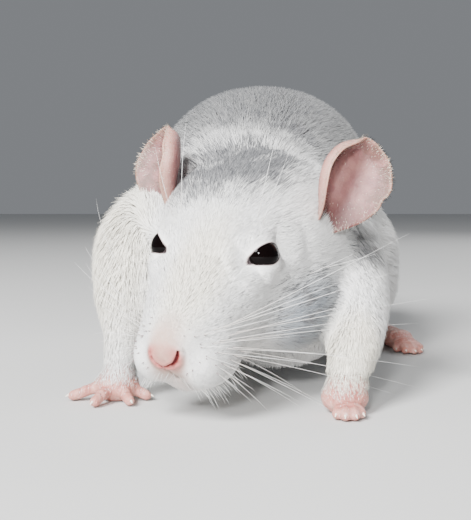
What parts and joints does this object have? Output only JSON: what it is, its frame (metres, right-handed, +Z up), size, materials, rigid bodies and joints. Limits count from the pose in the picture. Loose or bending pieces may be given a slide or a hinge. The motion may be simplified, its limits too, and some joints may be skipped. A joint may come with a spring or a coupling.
{
  "type": "pet rat, life-size still model",
  "caption": "Life-size still model of a pale, short-furred pet rat, crouched on all fours with its head low and turned aside and its long tail laid out behind.",
  "frame": {"origin": "on the floor, below the middle of the whole rat's box", "axes": "+Y from the nose towards the tip of the tail, +X towards the rat's left, +Z up"},
  "size_m": [0.092, 0.3054, 0.0784],
  "materials": {
    "coat_white": "short soft white fur",
    "coat_grey": "short soft fur, pale grey over the back and white below",
    "bare_skin": "bare pink skin with fine hairs",
    "eye": "wet, glossy black"
  },
  "bodies": {
    "root": {"head": "coat_white", "neck": "coat_white", "torso": "coat_grey", "foreleg_L": "coat_white", "foreleg_R": "coat_white", "hindleg_L": "coat_white", "hindleg_R": "coat_white", "forepaw_L": "bare_skin", "forepaw_R": "bare_skin", "hindfoot_L": "bare_skin", "hindfoot_R": "bare_skin", "ear_L": "bare_skin", "ear_R": "bare_skin", "eye_L": "eye", "eye_R": "eye", "tail_1": "bare_skin", "tail_2": "bare_skin", "tail_3": "bare_skin"}
  },
  "joints": []
}
